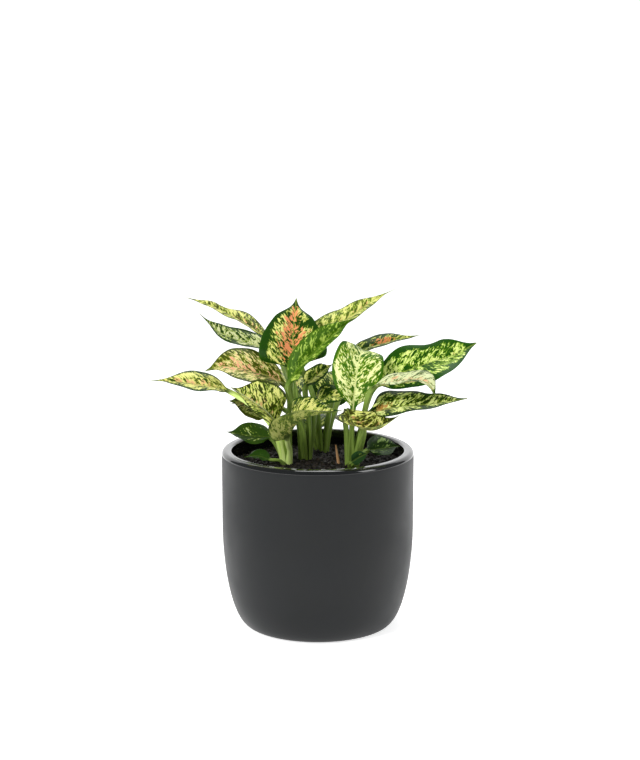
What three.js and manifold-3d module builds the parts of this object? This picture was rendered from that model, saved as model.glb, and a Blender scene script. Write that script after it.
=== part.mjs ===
// Potted Chinese evergreen: a round pot with a bowl-shaped foot, potting mix, and a young clump of
// variegated leaves standing on four short canes.
// Millimetres, +Z up. The origin is the centre of the pot's flat foot and the front faces -Y.
import * as THREE from "three";
import { LoftGeometry } from "three/addons/geometries/LoftGeometry.js";
import { mergeVertices } from "three/addons/utils/BufferGeometryUtils.js";
import Module from "manifold-3d";

// Pot
const POT_RADIUS = 90;
const POT_HEIGHT = 168;
const FOOT_RADIUS = 60;
const FOOT_EDGE = 1.5;
const BELLY_HEIGHT = 98;
const RIM_RADIUS = POT_RADIUS;
const WALL = 9.5;
const FLOOR = 10;
const RIM_EDGE = 2.5;
const INSIDE_TAPER = 2;
const FLOOR_CORNER = 4;
const FOOT_WALL = WALL * 0.85;
const MOUTH_RADIUS = RIM_RADIUS - WALL;

// Potting mix
const SOIL_DROP = 12;
const SOIL_TOP = POT_HEIGHT - SOIL_DROP;
const SOIL_EDGE_FALL = 2;
const SOIL_EDGE = SOIL_TOP - SOIL_EDGE_FALL;
const CLEARANCE = 0.3;

// Plant: its sizes below are drawn for a mouth 80 mm in radius and follow the mouth from there
const PLANT = MOUTH_RADIUS / 80;
const CANE_RADIUS = 4.4 * PLANT;
const CANE_HEIGHT = 16 * PLANT;
const PETIOLE_RADIUS = 2.5 * PLANT;
const ROOT_DEPTH = 6 * PLANT;
const BLADE_HALF_THICKNESS = 0.45;
const TIP_HALF_WIDTH = 0.25;
const WAVE_HEIGHT = 1 * PLANT;

const leafGreen = new THREE.MeshStandardMaterial({ color: 0x3f7d2c, roughness: 0.45, metalness: 0 });
const leafYellow = new THREE.MeshStandardMaterial({ color: 0x9dbb45, roughness: 0.45, metalness: 0 });
const leafPink = new THREE.MeshStandardMaterial({ color: 0xc9a47a, roughness: 0.45, metalness: 0 });
const leafPale = new THREE.MeshStandardMaterial({ color: 0xc3d39a, roughness: 0.45, metalness: 0 });
const leafDark = new THREE.MeshStandardMaterial({ color: 0x255222, roughness: 0.45, metalness: 0 });
const caneGreen = new THREE.MeshStandardMaterial({ color: 0x6f8a3c, roughness: 0.55, metalness: 0 });
const dryTan = new THREE.MeshStandardMaterial({ color: 0xc79a6b, roughness: 0.8, metalness: 0 });
const soilBlack = new THREE.MeshStandardMaterial({ color: 0x1d1916, roughness: 1, metalness: 0 });
const potGlaze = new THREE.MeshStandardMaterial({ color: 0x3a3c3d, roughness: 0.4, metalness: 0 });

const plant = new THREE.Group();
plant.name = "potted_chinese_evergreen";

function add(name, geometry, material) {
  const mesh = new THREE.Mesh(geometry, material);
  mesh.name = name;
  plant.add(mesh);
  return mesh;
}

// A point of the plant, given from the centre of the potting mix's surface.
function inPlant(point) {
  const [x, y, height] = point;
  return new THREE.Vector3(PLANT * x, PLANT * y, SOIL_TOP + PLANT * height);
}

// ---- Pot: one wall turned about +Z, the foot flat and the rim rounded ----

const FOOT_CURVE_STEPS = 9;
const ROUND = 72;

// The outside swells in a quarter of an ellipse from the foot, then runs almost straight up to the rim.
function outerRadius(z) {
  const fall = (BELLY_HEIGHT - z) / BELLY_HEIGHT;
  if (fall > 0) return FOOT_RADIUS + (POT_RADIUS - FOOT_RADIUS) * Math.sqrt(1 - fall * fall);
  return THREE.MathUtils.mapLinear(z, BELLY_HEIGHT, POT_HEIGHT, POT_RADIUS, RIM_RADIUS);
}

// The inner wall leans out a little towards the rim and follows the foot's curve lower down.
function innerRadius(z) {
  const straight = MOUTH_RADIUS - (INSIDE_TAPER * (POT_HEIGHT - z)) / POT_HEIGHT;
  return Math.min(straight, outerRadius(Math.max(z - FLOOR * 0.4, 0)) - FOOT_WALL);
}

const wall = [new THREE.Vector2(0, 0), new THREE.Vector2(FOOT_RADIUS - FOOT_EDGE, 0)];
for (let i = 0; i <= FOOT_CURVE_STEPS; i++) {
  const a = (Math.PI / 2) * (i / FOOT_CURVE_STEPS);
  const z = Math.max(BELLY_HEIGHT * (1 - Math.cos(a)), FOOT_EDGE);
  if (i === 0 || z > wall[wall.length - 1].y) wall.push(new THREE.Vector2(outerRadius(z), z));
}
wall.push(new THREE.Vector2(outerRadius(POT_HEIGHT - RIM_EDGE), POT_HEIGHT - RIM_EDGE));
wall.push(new THREE.Vector2(RIM_RADIUS - RIM_EDGE * 0.3, POT_HEIGHT - RIM_EDGE * 0.3));
wall.push(new THREE.Vector2(RIM_RADIUS - RIM_EDGE, POT_HEIGHT));
wall.push(new THREE.Vector2(MOUTH_RADIUS + RIM_EDGE, POT_HEIGHT));
wall.push(new THREE.Vector2(MOUTH_RADIUS + RIM_EDGE * 0.3, POT_HEIGHT - RIM_EDGE * 0.3));
wall.push(new THREE.Vector2(MOUTH_RADIUS, POT_HEIGHT - RIM_EDGE));
const INSIDE_STEPS = 5;
const INSIDE_LEVELS = [SOIL_TOP];
for (let i = 1; i <= INSIDE_STEPS; i++) {
  const share = Math.pow(1 - i / INSIDE_STEPS, 1.5);
  INSIDE_LEVELS.push(FLOOR + FOOT_EDGE + share * (SOIL_TOP - FLOOR));
}
for (const z of INSIDE_LEVELS) wall.push(new THREE.Vector2(innerRadius(z), z));
wall.push(new THREE.Vector2(innerRadius(FLOOR) - FLOOR_CORNER, FLOOR));
wall.push(new THREE.Vector2(0, FLOOR));

// Closes a turned profile that starts and ends on the axis.
function turned(profile, segments) {
  const geometry = new THREE.LatheGeometry(profile, segments);
  geometry.rotateX(Math.PI / 2);
  geometry.deleteAttribute("normal");
  geometry.deleteAttribute("uv");
  return mergeVertices(geometry, 1e-4);
}

add("pot", turned(wall, ROUND), potGlaze);

// ---- Solids joined and cut ----

const CAPPED = { closed: true, capStart: true, capEnd: true };
const kernel = await Module();
kernel.setup();

function solidFrom(geometry) {
  const bare = new THREE.BufferGeometry();
  bare.setAttribute("position", geometry.getAttribute("position"));
  bare.setIndex(geometry.getIndex());
  const merged = mergeVertices(bare, 1e-4);
  return new kernel.Manifold(
    new kernel.Mesh({
      numProp: 3,
      vertProperties: new Float32Array(merged.attributes.position.array),
      triVerts: new Uint32Array(merged.index.array),
    }),
  );
}

function geometryFrom(solid) {
  const mesh = solid.getMesh();
  const geometry = new THREE.BufferGeometry();
  geometry.setAttribute("position", new THREE.BufferAttribute(mesh.vertProperties, 3));
  geometry.setIndex(new THREE.BufferAttribute(mesh.triVerts, 1));
  geometry.computeVertexNormals();
  return geometry;
}

// ---- Canes ----

const SHOOTS = {
  left: [-28, -6],
  centre: [-11, 11],
  right: [32, -17],
  back: [4, 43],
};

// A cane flares a little at the potting mix and closes to a small crown. `grow` gives its socket.
const CANE_FLARE = 1.08;
const CANE_SIDES = 12;

function caneGeometry(shoot, grow) {
  const centre = inPlant([...SHOOTS[shoot], 0]);
  const radius = CANE_RADIUS + grow;
  const rings = [
    [-ROOT_DEPTH - grow, radius * CANE_FLARE],
    [0, radius * CANE_FLARE],
    [CANE_HEIGHT * 0.5, radius * 0.94],
    [CANE_HEIGHT * 0.9, radius * 0.8],
    [CANE_HEIGHT, radius * 0.35],
  ];
  const sections = rings.map(([height, across]) => {
    const ring = [];
    for (let i = 0; i < CANE_SIDES; i++) {
      const a = (2 * Math.PI * i) / CANE_SIDES;
      const out = new THREE.Vector3(across * Math.cos(a), across * Math.sin(a), height);
      ring.push(out.add(centre));
    }
    return ring;
  });
  return new LoftGeometry(sections, CAPPED);
}

// ---- Leaves: a grooved petiole that opens into a blade ----

const PETIOLE_STEPS = 5;
const BLADE_STEPS = 12;
const CURVE_STEPS = 60;
const GROOVE = 0.45;
const USUAL_FOLD = 14;
const USUAL_BROAD = 0.75;

// Petioles stand round their cane, clear of it and of neighbours no nearer than ROOT_SPACING.
const ROOT_SPACING = THREE.MathUtils.degToRad(40);
const ROOT_FLARE = 0.06;
const ROOT_RADIUS = PETIOLE_RADIUS * (1 + ROOT_FLARE);
const ROOT_RING = Math.max(
  CANE_RADIUS * CANE_FLARE + ROOT_RADIUS + CLEARANCE,
  (ROOT_RADIUS + CLEARANCE / 2) / Math.sin(ROOT_SPACING / 2),
);

// The half width of a blade as a share of its widest, from the neck at 0 to the drip tip at 1.
// `broad` moves the widest place: 0.75 puts it at two fifths of the blade, 1 at the middle.
function outline(v, broad) {
  const oval = Math.pow(Math.max(Math.sin(Math.PI * Math.pow(v, broad)), 0), 0.88);
  return oval * (1 - 0.5 * smooth(v, 0.7, 1));
}

function smooth(v, from, to) {
  const t = Math.min(Math.max((v - from) / (to - from), 0), 1);
  return t * t * (3 - 2 * t);
}

// The eight points of a round petiole: left, over the grooved top to the right, and back underneath.
function petioleSection(r) {
  const points = [];
  for (let k = 0; k < 8; k++) {
    const a = Math.PI - (k * Math.PI) / 4;
    const radius = k === 2 ? r * GROOVE : r;
    points.push([radius * Math.cos(a), radius * Math.sin(a)]);
  }
  return points;
}

// The same eight points across a blade: left margin, upper side, right margin, underside.
function bladeSection({ half, rib, thick, fold, leftLift, rightLift }) {
  const out = half * Math.cos(fold);
  const up = half * Math.sin(fold);
  const m = 0.52;
  const swell = m * up + 0.05 * half;
  return [
    [-out, up + leftLift],
    [-m * out, swell + leftLift * 0.3 + thick],
    [0, thick * 0.4],
    [m * out, swell + rightLift * 0.3 + thick],
    [out, up + rightLift],
    [m * out, swell + rightLift * 0.3 - thick],
    [0, -rib - thick * 0.6],
    [-m * out, swell + leftLift * 0.3 - thick],
  ];
}

// Every ring of a leaf, from the root in the potting mix to the tip.
function leafRings(leaf) {
  const r = PETIOLE_RADIUS * (leaf.petiole ?? 1);
  const [cx, cy] = SHOOTS[leaf.shoot];
  const ring = ROOT_RING / PLANT + (leaf.out ?? 0);
  const around = THREE.MathUtils.degToRad(leaf.around);
  const root = [cx + ring * Math.cos(around), cy + ring * Math.sin(around)];
  const necked = leaf.path[0];
  const rise = leaf.rise ?? [
    root[0] + (necked[0] - root[0]) * 0.22,
    root[1] + (necked[1] - root[1]) * 0.22,
    necked[2] * 0.45,
  ];
  const through = [[root[0], root[1], -ROOT_DEPTH / PLANT], rise, ...leaf.path];
  const curve = new THREE.CatmullRomCurve3(through.map(inPlant));
  const spans = through.length - 1;
  curve.arcLengthDivisions = spans * CURVE_STEPS;
  const lengths = curve.getLengths();
  const total = lengths[lengths.length - 1];
  const neck = lengths[2 * CURVE_STEPS] / total;

  const stations = [];
  for (let i = 0; i < PETIOLE_STEPS; i++) stations.push({ u: (neck * i) / PETIOLE_STEPS, v: -1 });
  for (let i = 0; i <= BLADE_STEPS; i++) {
    const even = i / BLADE_STEPS;
    const end = Math.min(even, 1 - even);
    const v = even + Math.sign(even - 0.5) * end * (0.3 - 0.6 * end);
    stations.push({ u: neck + (1 - neck) * v, v });
  }
  for (const station of stations) {
    station.centre = curve.getPointAt(station.u);
    station.ahead = curve.getTangentAt(station.u);
  }

  // The upper side faces `face` at the blade's middle and is carried from there both ways.
  const middle = PETIOLE_STEPS + Math.round(BLADE_STEPS / 2);
  const carry = (up, station) => {
    station.up = up.clone().addScaledVector(station.ahead, -up.dot(station.ahead)).normalize();
  };
  carry(new THREE.Vector3(...leaf.face), stations[middle]);
  for (let i = middle; i > 0; i--) carry(stations[i].up, stations[i - 1]);
  for (let i = middle; i < stations.length - 1; i++) carry(stations[i].up, stations[i + 1]);

  const fold = THREE.MathUtils.degToRad(leaf.fold ?? USUAL_FOLD);
  const broad = leaf.broad ?? USUAL_BROAD;
  const rings = stations.map(({ centre, ahead, up, v }, index) => {
    const onPetiole = v < 0;
    const blade = Math.max(v, 0);
    const side = new THREE.Vector3().crossVectors(ahead, up);
    const foot = 1 + ROOT_FLARE * 0.5 * Math.max(2 - index, 0);
    const rib = r * (onPetiole ? foot : 0.2 + 0.8 * Math.pow(1 - blade, 1.4));
    const spread = leaf.width * PLANT * 0.5 * outline(blade, broad);
    const half = Math.hypot(spread, onPetiole ? rib : rib * (1 - smooth(blade, 0, 0.5)) + TIP_HALF_WIDTH);
    const thick = BLADE_HALF_THICKNESS * (1 - 0.45 * smooth(blade, 0.7, 1));
    const wave = WAVE_HEIGHT * outline(blade, broad);
    const flat = bladeSection({
      half,
      rib: rib * 0.55,
      thick,
      fold: fold * smooth(blade, 0, 0.3),
      leftLift: wave * Math.sin(leaf.around + 11 * blade),
      rightLift: wave * Math.sin(leaf.around * 2 + 9 * blade),
    });
    const round = petioleSection(rib);
    const open = onPetiole ? 0 : smooth(blade, 0, 0.16);
    return flat.map(([s, n], k) => {
      const across = THREE.MathUtils.lerp(round[k][0], s, open);
      const above = THREE.MathUtils.lerp(round[k][1], n, open);
      return centre.clone().addScaledVector(side, across).addScaledVector(up, above);
    });
  });
  return rings;
}

// The hole a petiole leaves in the potting mix: its lowest run, a clearance wider all round.
function socketRings(rings) {
  const widened = rings.slice(0, 3).map((ring) => {
    const centre = ring[0].clone().add(ring[4]).multiplyScalar(0.5);
    const reach = ring[0].distanceTo(centre);
    return ring.map((point) => {
      const out = point.clone().sub(centre);
      return centre.clone().addScaledVector(out, (reach + 1.1 * CLEARANCE) / out.length());
    });
  });
  for (const point of widened[0]) point.z -= CLEARANCE;
  return widened;
}

// Each path runs from the neck, where petiole turns to blade, to the tip, in millimetres from the centre
// of the soil's surface. `around` is where the petiole leaves its cane, in degrees about +Z from +X.
const LEAVES = [
  // left cane
  { name: "leaf_left_broad", shoot: "left", around: 70, width: 50, broad: 0.85,
    face: [0.05, -0.5, 0.87], material: leafPink,
    path: [[-30, 5, 70], [-62, -4.5, 86.5], [-88, -8, 91], [-104, -11, 87]] },
  { name: "leaf_left_long", shoot: "left", around: 194, width: 32,
    face: [0.1, -0.38, 0.92], material: leafYellow, rise: [-46, -11, 38],
    path: [[-80, -14, 68], [-118, -20, 78], [-153, -24, 81]] },
  { name: "leaf_left_front", shoot: "left", around: 236, width: 50,
    face: [0.7, -0.6, 0.4], fold: 34, material: leafYellow,
    path: [[-36, -24, 38], [-48, -30, 55], [-79, -36, 77]] },
  { name: "leaf_left_cup", shoot: "left", around: 300, width: 50, broad: 0.6,
    face: [-0.4, -0.1, 0.9], fold: 37, material: leafPale,
    path: [[-28, -23, 26], [-15, -44, 50], [22, -57, 60]] },
  { name: "leaf_left_rim", shoot: "left", around: 152, width: 28,
    face: [0, -0.5, 0.86], material: leafDark,
    path: [[-43, -3, 22], [-64, 0, 24.5], [-86, 3, 27]] },
  { name: "leaf_left_hanging", shoot: "left", around: 111, width: 32,
    face: [0, -0.8, 0.6], material: leafDark, rise: [-31, 9, 16],
    path: [[-44, 18, 38], [-64, 22, 50], [-84, 24, 52]] },
  { name: "leaf_left_small", shoot: "left", around: 275, width: 15,
    face: [0, -0.45, 0.9], material: leafDark, petiole: 0.6, out: 5, rise: [-35, -20.5, 4.5],
    path: [[-44, -16.5, 5], [-55, -10, 7], [-68, -11, 6]] },
  // centre cane
  { name: "leaf_centre_tall", shoot: "centre", around: 192, width: 64, broad: 0.5,
    face: [0, -0.9, 0.42], material: leafPink, rise: [-19, 9, 30],
    path: [[-22, 0, 86], [-23, 7, 114], [-20, 30, 149]] },
  { name: "leaf_centre_young", shoot: "centre", around: 260, width: 30,
    face: [-0.4, -0.8, 0.4], fold: 40, material: leafGreen,
    path: [[-27, -20, 76], [-2, -22, 109], [20, -15, 127], [38, -8, 138]] },
  { name: "leaf_left_top", shoot: "centre", around: 100, width: 24,
    face: [-0.4, -0.15, 0.9], material: leafYellow,
    path: [[-47, 42, 107], [-74, 52, 124.5], [-99, 53, 137], [-125, 54, 146]] },
  { name: "leaf_left_second", shoot: "centre", around: 150, width: 30,
    face: [-0.3, -0.3, 0.9], material: leafGreen,
    path: [[-36, 22, 96.5], [-73, 27.5, 109.2], [-93, 27, 118], [-111, 32, 134]] },
  { name: "leaf_centre_low", shoot: "centre", around: 320, width: 22,
    face: [-0.4, -0.6, 0.7], material: leafYellow,
    path: [[-11, 0, 71], [0, 2, 82], [15, 6, 91]] },
  { name: "leaf_centre_shaded", shoot: "centre", around: 10, width: 24,
    face: [0, -0.6, 0.8], material: leafDark,
    path: [[-2, 9, 50], [10, 3, 61], [30, -2, 58]] },
  // right cane
  { name: "leaf_right_upright", shoot: "right", around: 258, width: 48, broad: 1,
    face: [0, -0.98, 0.1], material: leafYellow,
    path: [[32, -30, 54], [34, -30, 76], [37, -27, 98], [40, -17, 106], [44, 4, 103]] },
  { name: "leaf_right_broad", shoot: "right", around: 32, width: 50, broad: 0.85,
    face: [-0.25, -0.7, 0.66], material: leafGreen,
    path: [[52, -14, 72], [94, -14, 93], [124, -10, 102], [146, -4, 112]] },
  { name: "leaf_right_drooping", shoot: "right", around: 302, width: 38, broad: 0.9,
    face: [0, -0.15, 1], material: leafPale, rise: [41, -33, 34],
    path: [[49, -43, 77], [79, -54, 86], [97, -64, 87], [105, -69, 73]] },
  { name: "leaf_right_low", shoot: "right", around: 346, width: 42, broad: 0.5,
    face: [0, -0.4, 0.9], material: leafGreen, rise: [43, -22, 24],
    path: [[46, -28, 50], [74, -32, 59], [100, -38, 62], [135, -44, 68]] },
  { name: "leaf_right_bowl", shoot: "right", around: 215, width: 42, broad: 0.7,
    face: [0, -0.3, 0.95], fold: 28, material: leafPink,
    path: [[26, -36, 56], [35, -55, 46], [52, -66, 45], [73, -68, 58]] },
  { name: "leaf_right_soil", shoot: "right", around: 78, width: 34,
    face: [0, -0.42, 0.9], material: leafDark,
    path: [[46, 2, 9], [62, 7, 10.5], [77, 10, 11.5]] },
  { name: "leaf_right_basal", shoot: "right", around: 240, width: 12,
    face: [0, -0.9, 0.4], material: leafGreen, petiole: 0.6, out: 5, rise: [28, -31, 4],
    path: [[31, -34, 7], [36, -36, 11], [46, -36, 16]] },
  // back cane
  { name: "leaf_top_long", shoot: "back", around: 250, width: 28,
    face: [-0.3, -0.5, 0.8], material: leafYellow,
    path: [[-17, 25, 104], [26, 36, 128], [55, 46, 146], [74, 50, 155]] },
  { name: "leaf_right_top", shoot: "back", around: 310, width: 23,
    face: [0, -0.3, 0.95], material: leafGreen,
    path: [[30, 18, 96], [63, 28, 107], [97, 36, 113]] },
  { name: "leaf_back_right", shoot: "back", around: 10, width: 42,
    face: [-0.3, -0.3, 0.9], material: leafGreen,
    path: [[26, 62, 60], [46, 92, 72], [66, 122, 66]] },
  { name: "leaf_back_centre", shoot: "back", around: 54, width: 40,
    face: [0, -0.6, 0.8], material: leafDark,
    path: [[12, 60, 34], [14, 80, 58], [16, 110, 66]] },
  { name: "leaf_back_left", shoot: "back", around: 146, width: 40,
    face: [0.2, -0.3, 0.9], material: leafGreen,
    path: [[-18, 56, 50], [-32, 86, 66], [-48, 120, 62]] },
  { name: "leaf_back_side", shoot: "back", around: 190, width: 34,
    face: [0.3, -0.2, 0.9], material: leafGreen,
    path: [[-32, 50, 38], [-60, 62, 44], [-86, 76, 38]] },
  { name: "leaf_back_low", shoot: "back", around: 100, width: 44,
    face: [0, -0.2, 0.9], material: leafGreen,
    path: [[0, 66, 15], [-2, 92, 22], [-4, 124, 14]] },
];

const roots = [];
for (const leaf of LEAVES) {
  const rings = leafRings(leaf);
  add(leaf.name, new LoftGeometry(rings, CAPPED), leaf.material);
  roots.push(solidFrom(new LoftGeometry(socketRings(rings), CAPPED)));
}
for (const shoot of Object.keys(SHOOTS)) {
  add("cane_" + shoot, caneGeometry(shoot, 0), caneGreen);
  roots.push(solidFrom(caneGeometry(shoot, CLEARANCE)));
}

// A dried leaf sheath stands beside the right cane: a flat spill that leans left as it rises.
const SHEATH_PLACE = [20, -9];
const SHEATH_RINGS = [
  { height: -4, radius: 1.5, lean: 0 },
  { height: 3, radius: 1.4, lean: 1.2 },
  { height: 10, radius: 1.1, lean: 2.4 },
  { height: 17, radius: 0.7, lean: 3.6 },
];
const SHEATH_FLATNESS = 0.6;
const SHEATH_SIDES = 8;

function sheathGeometry(grow) {
  const [x, y] = SHEATH_PLACE;
  const sections = SHEATH_RINGS.map(({ height, radius, lean }) => {
    const ring = [];
    for (let i = 0; i < SHEATH_SIDES; i++) {
      const a = (2 * Math.PI * i) / SHEATH_SIDES;
      const across = (radius + grow) * Math.cos(a);
      const deep = (radius + grow) * SHEATH_FLATNESS * Math.sin(a);
      ring.push(inPlant([x - lean + across, y + deep, height > 0 ? height : height - grow]));
    }
    return ring;
  });
  return new LoftGeometry(sections, CAPPED);
}
add("dry_sheath", sheathGeometry(0), dryTan);
roots.push(solidFrom(sheathGeometry(CLEARANCE)));

// ---- Potting mix: it fills the pot to below the rim, with a hole for each petiole and cane ----

const fill = [new THREE.Vector2(0, FLOOR + CLEARANCE)];
fill.push(new THREE.Vector2(innerRadius(FLOOR) - FLOOR_CORNER - CLEARANCE, FLOOR + CLEARANCE));
for (const level of INSIDE_LEVELS.slice(1).reverse()) {
  fill.push(new THREE.Vector2(innerRadius(level) - CLEARANCE, level + CLEARANCE));
}
fill.push(new THREE.Vector2(innerRadius(SOIL_EDGE) - 1.5 * CLEARANCE, SOIL_EDGE));
fill.push(new THREE.Vector2(MOUTH_RADIUS * 0.75, SOIL_TOP - SOIL_EDGE_FALL * 0.3));
fill.push(new THREE.Vector2(0, SOIL_TOP));
let soil = solidFrom(turned(fill, ROUND));
for (const hole of roots) soil = soil.subtract(hole);
add("potting_mix", geometryFrom(soil), soilBlack);

export default plant;
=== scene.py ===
import math

import bmesh
import bpy
import numpy as np
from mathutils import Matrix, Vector


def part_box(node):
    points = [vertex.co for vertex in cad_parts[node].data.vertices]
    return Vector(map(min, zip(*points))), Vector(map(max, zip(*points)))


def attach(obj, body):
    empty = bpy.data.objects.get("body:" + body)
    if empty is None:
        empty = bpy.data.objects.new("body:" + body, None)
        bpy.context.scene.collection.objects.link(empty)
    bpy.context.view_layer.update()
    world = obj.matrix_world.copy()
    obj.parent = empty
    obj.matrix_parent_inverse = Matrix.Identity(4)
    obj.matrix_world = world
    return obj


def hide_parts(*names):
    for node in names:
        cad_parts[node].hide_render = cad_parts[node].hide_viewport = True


# Looks of the potted Chinese evergreen: leaf blades with their veins and flecks, sheathing petioles,
# ringed canes, crumbly potting mix, and a stoneware pot, satin outside and glossy inside.
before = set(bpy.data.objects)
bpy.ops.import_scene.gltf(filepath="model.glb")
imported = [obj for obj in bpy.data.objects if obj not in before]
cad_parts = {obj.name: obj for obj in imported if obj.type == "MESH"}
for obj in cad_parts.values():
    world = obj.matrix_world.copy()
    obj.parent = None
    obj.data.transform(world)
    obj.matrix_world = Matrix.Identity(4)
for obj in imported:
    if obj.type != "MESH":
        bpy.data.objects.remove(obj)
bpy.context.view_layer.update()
MM = 0.001

# ---- Small tools ----


def colour(code):
    """An sRGB hex colour as linear red, green, blue and alpha."""
    parts = [int(code[i:i + 2], 16) / 255 for i in (1, 3, 5)]
    return (*[p / 12.92 if p <= 0.04045 else ((p + 0.055) / 1.055) ** 2.4 for p in parts], 1.0)


def node(tree, kind, settings=None, inputs=None):
    """A new node of that kind. inputs gives a value or another node's output for each socket."""
    made = tree.nodes.new(kind)
    for name, value in (settings or {}).items():
        setattr(made, name, value)
    for key, value in (inputs or {}).items():
        if isinstance(value, bpy.types.NodeSocket):
            tree.links.new(value, made.inputs[key])
        else:
            made.inputs[key].default_value = value
    return made


def finish_of(name):
    """A new material of that name, with its node tree, its surface shader and nothing else."""
    material = bpy.data.materials.new(name)
    material.use_nodes = True
    return material, material.node_tree, material.node_tree.nodes["Principled BSDF"]


def stops(ramp, colours):
    """Gives a colour ramp its stops, each a place and a colour."""
    while len(ramp.elements) < len(colours):
        ramp.elements.new(0.5)
    for stop, (place, code) in zip(ramp.elements, colours):
        stop.position = place
        stop.color = colour(code)


def circle(radius, height, sides):
    """Evenly spaced points of a level circle round +Z."""
    turn = [2 * math.pi * i / sides for i in range(sides)]
    return [(radius * math.cos(a), radius * math.sin(a), height) for a in turn]


def smooth(value, start, end):
    """0 before start, 1 after end, and an even S between them."""
    t = np.clip((np.asarray(value, float) - start) / (end - start), 0, 1)
    return t * t * (3 - 2 * t)


def linked(thing):
    """The object, once it is in the scene."""
    bpy.context.scene.collection.objects.link(thing)
    return thing


def placed(name, mesh, cad_node=None):
    """A piece of that mesh on the root body. It stands for a CAD node if one is given."""
    piece = linked(bpy.data.objects.new(name, mesh))
    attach(piece, "root")
    if cad_node:
        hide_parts(cad_node)
    return piece


def built(name, points, faces, material, cad_node=None, values=None, second=None):
    """A closed, smooth-shaded piece on the root body, with its faces turned outwards. values gives vectors
    for its points, and second gives another material and a flag for each face that wears it."""
    mesh = bpy.data.meshes.new(name)
    mesh.from_pydata([tuple(p) for p in points], [], faces)
    for label, vectors in (values or {}).items():
        kept = mesh.attributes.new(label, "FLOAT_VECTOR", "POINT")
        kept.data.foreach_set("vector", vectors.astype(np.float32).ravel())
    shell = bmesh.new()
    shell.from_mesh(mesh)
    bmesh.ops.recalc_face_normals(shell, faces=shell.faces)
    shell.to_mesh(mesh)
    shell.free()
    mesh.shade_smooth()
    mesh.materials.append(material)
    if second:
        mesh.materials.append(second[0])
        mesh.polygons.foreach_set("material_index", second[1])
    return placed(name, mesh, cad_node)


def capped(rows, sides):
    """Faces over rings of points that close on a single point before the first ring and after the last."""
    faces = []
    for i in range(sides):
        j = (i + 1) % sides
        faces.append((0, 1 + j, 1 + i))
        for k in range(rows - 1):
            low, high = 1 + k * sides, 1 + (k + 1) * sides
            faces.append((low + i, low + j, high + j, high + i))
        last = 1 + (rows - 1) * sides
        faces.append((1 + rows * sides, last + i, last + j))
    return faces


def tube(rows, around):
    """Faces over rings of points, with a flat end on the first ring and on the last."""
    faces = []
    for k in range(rows - 1):
        low, high = k * around, (k + 1) * around
        for i in range(around):
            j = (i + 1) % around
            faces.append((low + i, low + j, high + j, high + i))
    return faces + [tuple(range(around)), tuple(range((rows - 1) * around, rows * around))]


def turned(profile, sides):
    """Points and faces of a profile of (radius, height) turned round +Z. It starts and ends on the axis."""
    points = [(0, 0, profile[0][1])]
    for radius, height in profile[1:-1]:
        points += circle(radius, height, sides)
    points.append((0, 0, profile[-1][1]))
    return points, capped(len(profile) - 2, sides)


# ---- Pot ----

# The pot's main sizes are read from its CAD node: where the foot, the belly, the mouth and the rim lie.
POT_RADIUS, _, POT_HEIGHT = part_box("pot")[1]
pot_points = np.array([v.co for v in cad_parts["pot"].data.vertices])
pot_levels = pot_points[:, 2]
pot_reach = np.hypot(pot_points[:, 0], pot_points[:, 1])
FOOT_RADIUS = pot_reach[pot_levels < 2 * MM].max()
BELLY_HEIGHT = pot_levels[pot_reach > POT_RADIUS - 0.01 * MM].min()
MOUTH_RADIUS = pot_reach[(pot_levels > POT_HEIGHT - 20 * MM) & (pot_levels < POT_HEIGHT - 2 * MM)].min()
RIM_RADIUS = pot_reach[pot_levels > POT_HEIGHT - 3 * MM].max()
FLOOR = 10 * MM
FLOOR_CORNER = 4 * MM
INSIDE_TAPER = 2 * MM
LOWER_WALL = 7.6 * MM
FOOT_EDGE = 1.5 * MM
FOOT_CHAMFER = 0.4 * MM
FOOT_RING = 8 * MM
RIM_ROUND_OUT = 4 * MM
RIM_ROUND_IN = 2.4 * MM
CURVE_STEPS = 48
INSIDE_STEPS = 30
POT_SIDES = 192


def outer_radius(height):
    """The outer wall: a quarter of an ellipse from the foot to the belly, then straight to the rim."""
    fall = max((BELLY_HEIGHT - height) / BELLY_HEIGHT, 0)
    if fall > 0:
        return FOOT_RADIUS + (POT_RADIUS - FOOT_RADIUS) * math.sqrt(1 - fall * fall)
    share = (height - BELLY_HEIGHT) / (POT_HEIGHT - BELLY_HEIGHT)
    return POT_RADIUS + (RIM_RADIUS - POT_RADIUS) * share


def inner_radius(height):
    """The inner wall: almost straight below the mouth, and inside the outer curve lower down."""
    straight = MOUTH_RADIUS - INSIDE_TAPER * (POT_HEIGHT - height) / POT_HEIGHT
    return min(straight, outer_radius(max(height - FLOOR_CORNER, 0)) - LOWER_WALL)


def arc(centre, radius, start, end, steps):
    """Points of a corner's arc in a profile, its angles in degrees from straight out."""
    turn = [math.radians(start + (end - start) * i / steps) for i in range(steps + 1)]
    return [(centre[0] + radius * math.cos(a), centre[1] + radius * math.sin(a)) for a in turn]


outside = [(0, 0), (FOOT_RADIUS - FOOT_RING, 0), (FOOT_RADIUS - FOOT_EDGE, 0)]
outside.append((FOOT_RADIUS - FOOT_CHAMFER, FOOT_CHAMFER))
for i in range(1, CURVE_STEPS + 1):
    height = BELLY_HEIGHT * (1 - math.cos(math.pi / 2 * i / CURVE_STEPS))
    if height > FOOT_EDGE:
        outside.append((outer_radius(height), height))
for share in (0.15, 0.3, 0.5, 0.7, 0.85, 0.95):
    height = BELLY_HEIGHT + (POT_HEIGHT - RIM_ROUND_OUT - BELLY_HEIGHT) * share
    outside.append((outer_radius(height), height))
rim = arc((RIM_RADIUS - RIM_ROUND_OUT, POT_HEIGHT - RIM_ROUND_OUT), RIM_ROUND_OUT, start=0, end=90, steps=10)
rim += arc((MOUTH_RADIUS + RIM_ROUND_IN, POT_HEIGHT - RIM_ROUND_IN), RIM_ROUND_IN, start=90, end=180, steps=8)
inside = []
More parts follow.
